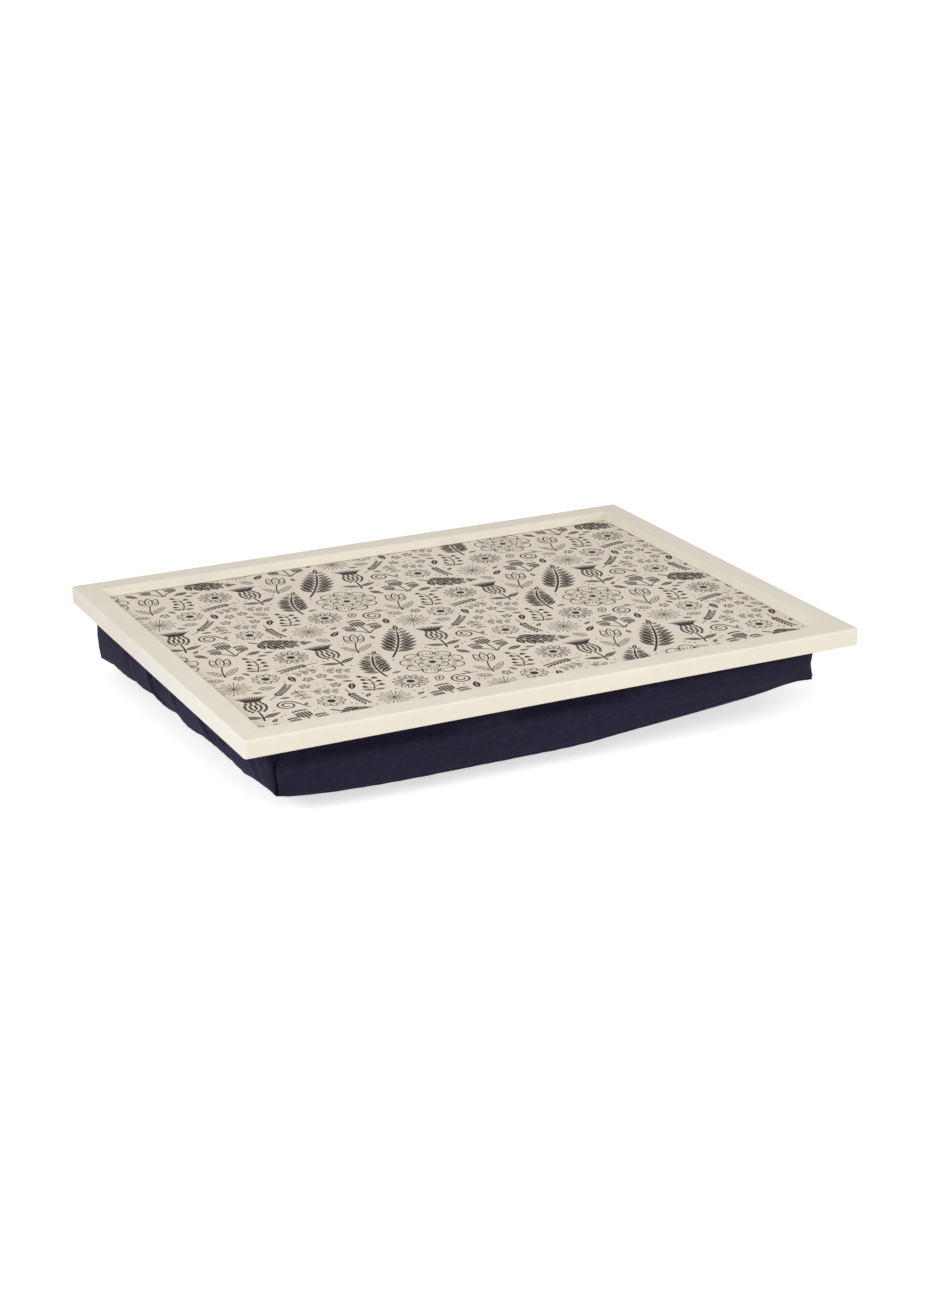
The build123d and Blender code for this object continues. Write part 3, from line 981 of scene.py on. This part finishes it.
def swelling(lines, grids, count):
    """What the blown-up bag adds to each of the vertices of a closer grid."""
    moved, plain_grids = blown_up()
    swell = np.zeros((count, 3))
    panels = zip(grids, plain_grids, panel_lines(*lines), panel_lines(*SIM_LINES))
    for grid, plain, new, old in panels:
        field = curve_through(new[0], old[0], moved[plain])
        swell[grid] = curve_through(new[1], old[1], field.swapaxes(0, 1)).swapaxes(0, 1)
    return swell


def normals_of(verts, faces, passes=2):
    """Outward normals of the vertices, evened out so that they turn gradually over an edge."""
    quads = np.concatenate(faces)
    a, b, c, d = (verts[quads[:, k]] for k in range(4))
    across = np.cross(c - a, d - b)
    across /= np.linalg.norm(across, axis=1)[:, None]
    for _ in range(passes):
        total = np.zeros_like(verts)
        for k in range(4):
            np.add.at(total, quads[:, k], across)
        total /= np.linalg.norm(total, axis=1)[:, None]
        across = total[quads].mean(1)
    return total


def hump(distance, reach):
    return np.exp(-((distance / reach) ** 2))


def risen(distance, fade):
    """From 0 at a seam to 1 far off it."""
    return 1 - np.exp(-distance / fade)


def eased(value, low, high):
    t = np.clip((value - low) / (high - low), 0, 1)
    return t * t * (3 - 2 * t)


def puckers(rng, along, away, most):
    """Small dents that the stitches draw into a panel beside its seam, in millimetres."""
    out = np.zeros(along.shape)
    length = along.max()
    place = rng.uniform(PUCKER_END, PUCKER_SPACING)
    while place < length - PUCKER_END:
        depth = most * rng.uniform(*DEPTH_RANGE)
        tall = PUCKER_REACH * rng.uniform(*REACH_RANGE)
        lean = rng.uniform(*LEAN_RANGE)
        dent = depth * hump(along - place - lean * away, rng.uniform(*WIDTH_RANGE))
        out -= dent * np.exp(-away / tall) * risen(away, PUCKER_FADE)
        place += PUCKER_SPACING * rng.uniform(*SPACING_RANGE)
    return out


def form_wall(out, side, along, down, length, depth, near):
    """Gives a wall its fuller corner, hollows, folds and pits, in out itself."""
    out += CORNER_PUFFS[side] * hump(along, CORNER_PUFF_REACH) * risen(near, CORNER_PUFF_FADE)
    share = along / length
    for middle, half, sink, reach in HOLLOWS[side]:
        hollow = sink * hump(((share - middle) / half) ** 2, 1)
        out -= hollow * eased(reach - down, 0, SHOULDER * reach) * risen(near, HOLLOW_FADE)
    for top, foot, sink, width in FOLDS[side]:
        off = along - (top + (foot - top) * down / depth) * length
        fold = sink * (1 - (off / width) ** 2) * hump(off / width, FOLD_TAIL)
        out -= fold * risen(near, FOLD_FADE)
    first, last = (PITS[corner] for corner in SIDES[side])
    pit = first * hump(along, PIT_REACH) + last * hump(length - along, PIT_REACH)
    out -= pit * eased(PIT_FOOT - down, 0, PIT_RUN)
    out *= 1 - hump(down, HEM_REACH)


def panel_form(side, verts, normals, grid, rng):
    """How each point of a panel moves from the plain form, in metres: puffed up between its
    seams and drawn in along them."""
    facing = normals[grid]
    spots = verts[grid] / MM
    steps = [np.linalg.norm(np.diff(spots, axis=k), axis=2) for k in (0, 1)]
    along = np.concatenate((np.zeros((1, grid.shape[1])), np.cumsum(steps[0], 0)))
    down = np.concatenate((np.zeros((grid.shape[0], 1)), np.cumsum(steps[1], 1)), 1)
    length, depth = along[-1:], down[:, -1:]
    pinched = CORNER_SEAM * (1 + hump(down - PINCH, PINCH_REACH))
    deep = LOWER_SEAM if side == UNDER else pinched
    # Each seam: how far off a point is, its place along it, how deep and which way it is drawn
    # in, and which wall is beyond it
    seams = [
        (along, down, deep, facing[:1], 3),
        (length - along, down, deep, facing[-1:], 1),
        (depth - down, along, LOWER_SEAM, facing[:, -1:], 2),
        (down, along, LOWER_SEAM, facing[:, :1], 0),
    ]
    if side != UNDER:
        seams.pop()
    near = np.minimum.reduce([away for away, *_ in seams])
    out = PUFF * risen(near, PUFF_FADE)
    for away, place, _, _, beside in seams:
        most = PUCKER_DEPTH[beside if side == UNDER else side]
        out += puckers(rng, place, away, most) * risen(near, PUCKER_FADE)
    if side != UNDER:
        form_wall(out, side, along, down, length, depth, near)
    deepest = np.zeros(grid.shape)
    drawn = np.zeros(grid.shape + (3,))
    for away, _, sunk, end, _ in seams:
        own = eased(away, *CLEFT)[..., None]
        toward = facing * own + end * (1 - own)
        toward = toward / np.linalg.norm(toward, axis=2)[..., None]
        sink = sunk * np.exp(-away / SEAM_WIDTH)
        if side != UNDER:
            sink = sink * (1 - hump(down, HEM_REACH))
        drawn = np.where((sink > deepest)[..., None], toward * sink[..., None], drawn)
        deepest = np.maximum(deepest, sink)
    return (facing * out[..., None] - drawn) * MM


def swayed(verts, grids, rows):
    """The bag with its corner seams off their straight lines."""
    verts = verts.copy()
    for k in range(4):
        knots = np.array(((0, 0, 0), *CORNER_SWAYS[k], (1, 0, 0)))
        sway = curve_through(rows, knots[:, 0], knots[:, 1:]) * MM
        for grid, skip in ((grids[k], 0), (grids[(k + 3) % 4][::-1], 1)):
            away = np.linalg.norm(verts[grid] - verts[grid[:1]], axis=2) / MM
            verts[grid[skip:], :2] += (sway * hump(away, SWAY_REACH)[..., None])[skip:]
    return verts


def dropped(verts, grids, long, short, rows):
    """How far each point hangs with the lower seam, in metres."""
    drop = np.zeros(len(verts))
    under = grids[UNDER][1:-1, 1:-1]
    s, t = long[1:-1, None], short[None, 1:-1]
    wide, deep = 2 * half_length / MM, 2 * half_width / MM
    places = ((s, t * deep), (t, (1 - s) * wide), (1 - s, (1 - t) * deep), (1 - t, s * wide))
    for side, (along, away) in enumerate(places):
        first, last = (CORNER_DROPS[corner] for corner in SIDES[side])
        knots = np.array(((0, first), *SEAM_DROPS[side], (1, last)))
        drop[grids[side]] = curve_through((long, short)[side % 2], *knots.T)[:, None] * rows**2
        drop[under] += curve_through(along, *knots.T) * hump(away, DROP_REACH)
    return drop * MM


def add_grain(mesh, verts, faces):
    """The map of the threads: along and up each wall, and level on the underside."""
    place = verts[np.concatenate(faces).ravel()]
    panel = np.repeat(np.arange(5), [4 * len(f) for f in faces])[:, None]
    flat = np.where(panel % 2 == 0, place[:, [0, 2]], place[:, [1, 2]])
    flat = np.where(panel == UNDER, place[:, [0, 1]], flat)
    mesh.uv_layers.new(name="grain").data.foreach_set("uv", flat.astype(np.float32).ravel())


def make_cushion():
    long, short = (graded(2 * (half - rail_foot)) for half in (half_length, half_width))
    rows = graded(WALL_SHARE * cushion_height, both=False)
    lines = (long, short, rows)
    plain, faces, grids = bag_mesh(*lines)
    plain = plain + swelling(lines, grids, len(plain))
    plain[:, 2] -= dropped(plain, grids, *lines)
    plain = swayed(plain, grids, rows)
    normals = normals_of(plain, faces)
    rng = np.random.default_rng(PUCKER_SEED)
    verts = plain.copy()
    for side, grid in enumerate(grids):
        verts[grid] = plain[grid] + panel_form(side, plain, normals, grid, rng)
    verts[:, 2] = np.maximum(verts[:, 2], 0)
    bag = new_piece("cushion", verts, faces)
    mesh = bag.data
    add_grain(mesh, verts, faces)
    # The hem turns in under the board, and a flat top closes the form
    form = bmesh.new()
    form.from_mesh(mesh)
    for v in carried_on(form):
        v.co.xy *= HEM_TURN
    close_up(form, mesh)
    for polygon in mesh.polygons:
        polygon.use_smooth = True
    mesh.materials.append(navy_cloth())
    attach(bag, "root")
    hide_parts("front_gusset", "right_gusset", "back_gusset", "left_gusset", "base_panel")
    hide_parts("inner_bag_top", "inner_bag_body", "bead_fill")


# Stage and light
WHITE = (1, 1, 1, 1)
FLOOR_REACH = 60
FLOOR_GREY = (0.8, 0.8, 0.8, 1)
FLOOR_GLOW = 0.62  # of its own, which is seen but lights nothing
SKY_LIGHT = 0.5  # on surfaces, against 1 where the sky is seen
SKY_BLUE = (0.66, 0.75, 1)
LAMPS = (  # name, place, what it points at, width and height, watts, and colour if not white
    ("left", (-3.0, -1.0, 2.0), (0, 0, 0.03), (1.4, 1.0), 40),
    ("camera_side", (-0.28, -0.88, 0.7), (0, 0, 0.05), (0.5, 0.4), 2.3),
    ("right", (1.3, -1.5, 0.45), (0, 0, 0.05), (0.8, 0.6), 10.5),
    ("left_corner", (-0.47, -0.14, 0.12), (-0.21, -0.13, 0.05), (0.15, 0.12), 0.19, SKY_BLUE),
)


def make_stage():
    mesh = bpy.data.meshes.new("floor")
    spots = [(x * FLOOR_REACH, y * FLOOR_REACH, 0) for x, y in CORNERS]
    mesh.from_pydata(spots, [], [(0, 1, 2, 3)])
    floor = new_object("floor", mesh)
    mat = bpy.data.materials.new("floor")
    shading = Shading(mat)
    plain = shading.add("BsdfDiffuse", (FLOOR_GREY,))
    glow = shading.math("MULTIPLY", shading.seen(), FLOOR_GLOW)
    lit = shading.add("Emission", (WHITE, glow))
    shading.node("OutputMaterial", (shading.add("AddShader", (plain, lit)),))
    mesh.materials.append(mat)
    world = bpy.data.worlds.new("studio")
    bpy.context.scene.world = world
    shading = Shading(world)
    strength = shading.ranged(shading.seen(), 0, 1, SKY_LIGHT, 1)
    shading.node("OutputWorld", (shading.add("Background", (WHITE, strength)),))


def make_lamp(name, place, target, size, watts, colour=(1, 1, 1)):
    data = bpy.data.lights.new(name, "AREA")
    data.shape = "RECTANGLE"
    data.size, data.size_y = size
    data.energy = watts
    data.color = colour
    lamp = new_object(name, data)
    lamp.location = place
    lamp.rotation_mode = "QUATERNION"
    lamp.rotation_quaternion = (Vector(target) - Vector(place)).to_track_quat("-Z", "Y")
    lamp.visible_camera = False


bpy.context.scene.view_settings.view_transform = "Standard"
make_camera()
make_stage()
for lamp in LAMPS:
    make_lamp(*lamp)
dress(cream_paint("cream_paint_along", (3, 60, 60)), "front_rail", "back_rail")
dress(cream_paint("cream_paint_across", (60, 3, 60)), "left_rail", "right_rail")
dress(raw_board(), "tray_board")
dress(grey_card(), *(side + "_tack_strip" for side in ("front", "back", "left", "right")))
dress(drawn_steel(), "tack_staples", "corner_v_nails")
dress(nonwoven(), "inner_bag_top", "inner_bag_body")
dress(beads(), "bead_fill")
make_printed_face()
make_cushion()
